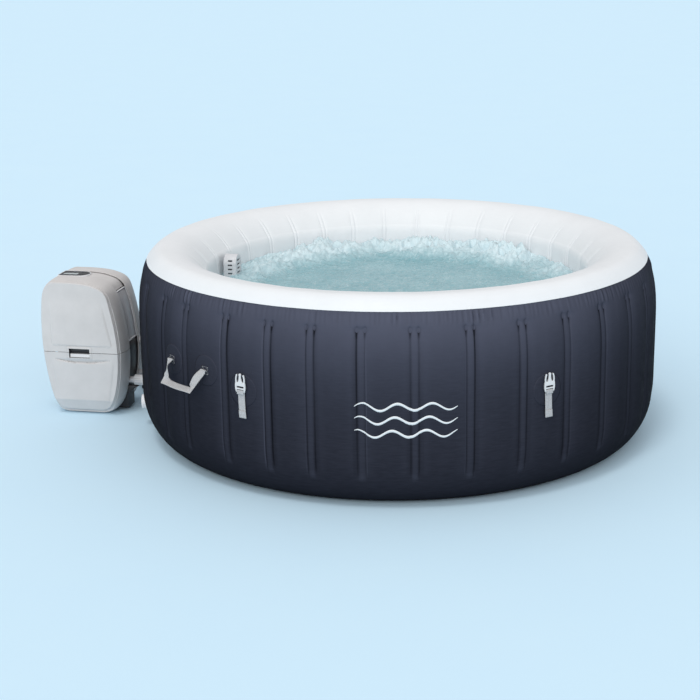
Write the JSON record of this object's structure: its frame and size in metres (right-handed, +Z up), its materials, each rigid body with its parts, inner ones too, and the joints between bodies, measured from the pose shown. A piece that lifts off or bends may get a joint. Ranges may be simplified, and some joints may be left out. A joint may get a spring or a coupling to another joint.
{
  "type": "inflatable hot tub",
  "caption": "Round inflatable hot tub with beam-braced air wall, cover straps, carry handles, in-tub filter and an outside pump, heater and blower unit.",
  "frame": {"origin": "centre of the tub's bottom sheet on the ground", "axes": "+Z up; -Y towards the viewer who sees the pump unit on the left; -X towards the pump unit's side"},
  "size_m": [2.1977, 1.7996, 0.66],
  "materials": {
    "wall_navy": "satin laminated PVC sheet, fine grain",
    "wall_patch_navy": "satin PVC patch, welded on",
    "panel_white": "smooth satin white PVC",
    "inner_white": "satin white PVC with weld pleats",
    "beam_mesh": "laminated mesh sheet inside the air chamber",
    "webbing_grey": "woven polypropylene webbing",
    "buckle_grey": "moulded acetal",
    "fitting_grey": "moulded polypropylene",
    "nut_grey": "moulded nylon union nut",
    "filter_paper": "pleated polyester filter sheet",
    "valve_white": "moulded white plastic",
    "rubber_black": "soft black rubber",
    "cover_grey": "light grey moulded shell, fine spark texture",
    "door_grey": "slightly darker light grey moulded shell",
    "latch_white": "pale moulded latch",
    "band_grey": "mid grey moulded band",
    "chassis_black": "black glass-filled nylon",
    "panel_black": "gloss black overlay",
    "display_glass": "liquid-crystal window",
    "button_grey": "silicone keys",
    "rotor_grey": "moulded nylon rotor",
    "steel": "brushed stainless steel",
    "board_green": "glass-fibre circuit board",
    "cord_black": "rubber-sheathed cord",
    "test_blue": "moulded button",
    "reset_red": "moulded button",
    "water": "rippled, bubbling water shown in the looks only"
  },
  "bodies": {
    "tub": {"outer_wall": "wall_navy", "top_panel": "panel_white", "inner_wall": "inner_white", "floor_sheet": "inner_white", "wall_beams": "beam_mesh", "air_channel": "inner_white", "wall_patches": "wall_patch_navy", "strap_webs": "webbing_grey", "wall_ports": "fitting_grey", "port_gaskets": "rubber_black", "filter_base": "fitting_grey", "filter_cartridge": "filter_paper", "outlet_frame": "fitting_grey", "drain_valve": "valve_white", "air_valve": "valve_white", "pump_front_cover": "cover_grey", "pump_rear_cover": "cover_grey", "pump_top_cover": "cover_grey", "pump_side_band": "band_grey", "pump_chassis": "chassis_black", "pump_feet": "rubber_black", "control_panel": "panel_black", "display_window": "display_glass", "coupling_spigots": "band_grey", "water_pump": "chassis_black", "heater_tube": "steel", "blower_body": "chassis_black", "control_board": "board_green", "inner_hoses": "rubber_black", "pump_screws": "steel", "power_cord": "cord_black", "safety_plug": "cord_black"},
    "buckle_1": {"buckle_1": "buckle_grey"},
    "buckle_2": {"buckle_2": "buckle_grey"},
    "buckle_3": {"buckle_3": "buckle_grey"},
    "buckle_4": {"buckle_4": "buckle_grey"},
    "buckle_5": {"buckle_5": "buckle_grey"},
    "buckle_6": {"buckle_6": "buckle_grey"},
    "handle_front": {"handle_front": "webbing_grey"},
    "handle_rear": {"handle_rear": "webbing_grey"},
    "filter_cover": {"filter_cover": "fitting_grey"},
    "outlet_grille": {"outlet_grille": "fitting_grey"},
    "drain_cap": {"drain_cap": "valve_white"},
    "air_cap": {"air_cap": "valve_white"},
    "pump_door": {"pump_door": "door_grey"},
    "door_latch": {"door_latch": "latch_white"},
    "button_power": {"button_power": "button_grey"},
    "button_heat": {"button_heat": "button_grey"},
    "button_filter": {"button_filter": "button_grey"},
    "button_bubbles": {"button_bubbles": "button_grey"},
    "button_up": {"button_up": "button_grey"},
    "button_down": {"button_down": "button_grey"},
    "nut_inlet": {"nut_inlet": "nut_grey"},
    "nut_outlet": {"nut_outlet": "nut_grey"},
    "nut_air": {"nut_air": "nut_grey"},
    "impeller": {"impeller": "rotor_grey"},
    "blower_fan": {"blower_fan": "rotor_grey"},
    "plug_test_button": {"plug_test_button": "test_blue"},
    "plug_reset_button": {"plug_reset_button": "reset_red"}
  },
  "joints": [
    {"name": "buckle_1_swing", "type": "hinge", "parent": "tub", "child": "buckle_1", "pos_m": [-0.47927, -0.77015, 0.35], "axis": [0.849, -0.5284, 0], "range_deg": [0, 80]},
    {"name": "buckle_2_swing", "type": "hinge", "parent": "tub", "child": "buckle_2", "pos_m": [0.45999, -0.78182, 0.35], "axis": [0.8619, 0.5071, 0], "range_deg": [0, 80]},
    {"name": "buckle_3_swing", "type": "hinge", "parent": "tub", "child": "buckle_3", "pos_m": [0.90489, 0.06328, 0.35], "axis": [-0.0698, 0.9976, 0], "range_deg": [0, 80]},
    {"name": "buckle_4_swing", "type": "hinge", "parent": "tub", "child": "buckle_4", "pos_m": [0.49482, 0.76025, 0.35], "axis": [-0.8381, 0.5455, 0], "range_deg": [0, 80]},
    {"name": "buckle_5_swing", "type": "hinge", "parent": "tub", "child": "buckle_5", "pos_m": [-0.45999, 0.78182, 0.35], "axis": [-0.8619, -0.5071, 0], "range_deg": [0, 80]},
    {"name": "buckle_6_swing", "type": "hinge", "parent": "tub", "child": "buckle_6", "pos_m": [-0.90111, 0.10407, 0.35], "axis": [-0.1147, -0.9934, 0], "range_deg": [0, 80]},
    {"name": "handle_front_swing", "type": "hinge", "parent": "tub", "child": "handle_front", "pos_m": [-0.6631, -0.61296, 0.388], "axis": [-0.6788, 0.7343, 0], "range_deg": [0, 120]},
    {"name": "handle_rear_swing", "type": "hinge", "parent": "tub", "child": "handle_rear", "pos_m": [0.6631, 0.61296, 0.388], "axis": [0.6788, -0.7343, 0], "range_deg": [0, 120]},
    {"name": "filter_cover_lift", "type": "slide", "parent": "tub", "child": "filter_cover", "axis": [0, 0, 1], "range_m": [0, 0.08]},
    {"name": "outlet_grille_twist", "type": "hinge", "parent": "tub", "child": "outlet_grille", "pos_m": [-0.63297, 0.08579, 0.113], "axis": [0.9833, -0.1822, 0], "range_deg": [0, 30]},
    {"name": "drain_cap_turn", "type": "hinge", "parent": "tub", "child": "drain_cap", "pos_m": [-0.90045, -0.03144, 0.086], "axis": [-0.9994, -0.0349, 0], "range_deg": [0, 360]},
    {"name": "air_cap_turn", "type": "hinge", "parent": "tub", "child": "air_cap", "pos_m": [-0.7362, 0.53489, 0.45], "axis": [-0.809, 0.5878, 0], "range_deg": [0, 360]},
    {"name": "pump_door_pull", "type": "slide", "parent": "tub", "child": "pump_door", "axis": [-0.1822, -0.9833, 0], "range_m": [0, 0.06]},
    {"name": "door_latch_press", "type": "slide", "parent": "pump_door", "child": "door_latch", "axis": [0, 0, -1], "range_m": [0, 0.004], "stiffness_N_per_m": 200},
    {"name": "button_power_press", "type": "slide", "parent": "tub", "child": "button_power", "axis": [0, 0, -1], "range_m": [0, 0.0006], "stiffness_N_per_m": 800},
    {"name": "button_heat_press", "type": "slide", "parent": "tub", "child": "button_heat", "axis": [0, 0, -1], "range_m": [0, 0.0006], "stiffness_N_per_m": 800},
    {"name": "button_filter_press", "type": "slide", "parent": "tub", "child": "button_filter", "axis": [0, 0, -1], "range_m": [0, 0.0006], "stiffness_N_per_m": 800},
    {"name": "button_bubbles_press", "type": "slide", "parent": "tub", "child": "button_bubbles", "axis": [0, 0, -1], "range_m": [0, 0.0006], "stiffness_N_per_m": 800},
    {"name": "button_up_press", "type": "slide", "parent": "tub", "child": "button_up", "axis": [0, 0, -1], "range_m": [0, 0.0006], "stiffness_N_per_m": 800},
    {"name": "button_down_press", "type": "slide", "parent": "tub", "child": "button_down", "axis": [0, 0, -1], "range_m": [0, 0.0006], "stiffness_N_per_m": 800},
    {"name": "nut_inlet_spin", "type": "hinge", "parent": "tub", "child": "nut_inlet", "pos_m": [-0.9201, 0.23765, 0.113], "axis": [0.9833, -0.1822, 0], "continuous": true},
    {"name": "nut_outlet_spin", "type": "hinge", "parent": "tub", "child": "nut_outlet", "pos_m": [-0.93778, 0.14228, 0.113], "axis": [0.9833, -0.1822, 0], "continuous": true},
    {"name": "nut_air_spin", "type": "hinge", "parent": "tub", "child": "nut_air", "pos_m": [-0.9201, 0.23765, 0.238], "axis": [0.9833, -0.1822, 0], "continuous": true},
    {"name": "impeller_spin", "type": "hinge", "parent": "tub", "child": "impeller", "pos_m": [-1.16446, 0.23616, 0.115], "axis": [-0.1822, -0.9833, 0], "continuous": true},
    {"name": "blower_fan_spin", "type": "hinge", "parent": "tub", "child": "blower_fan", "pos_m": [-1.11093, 0.19573, 0.372], "axis": [-0.1822, -0.9833, 0], "continuous": true},
    {"name": "plug_test_press", "type": "slide", "parent": "tub", "child": "plug_test_button", "axis": [0, 0, -1], "range_m": [0, 0.0014], "stiffness_N_per_m": 800},
    {"name": "plug_reset_press", "type": "slide", "parent": "tub", "child": "plug_reset_button", "axis": [0, 0, -1], "range_m": [0, 0.0014], "stiffness_N_per_m": 800}
  ]
}
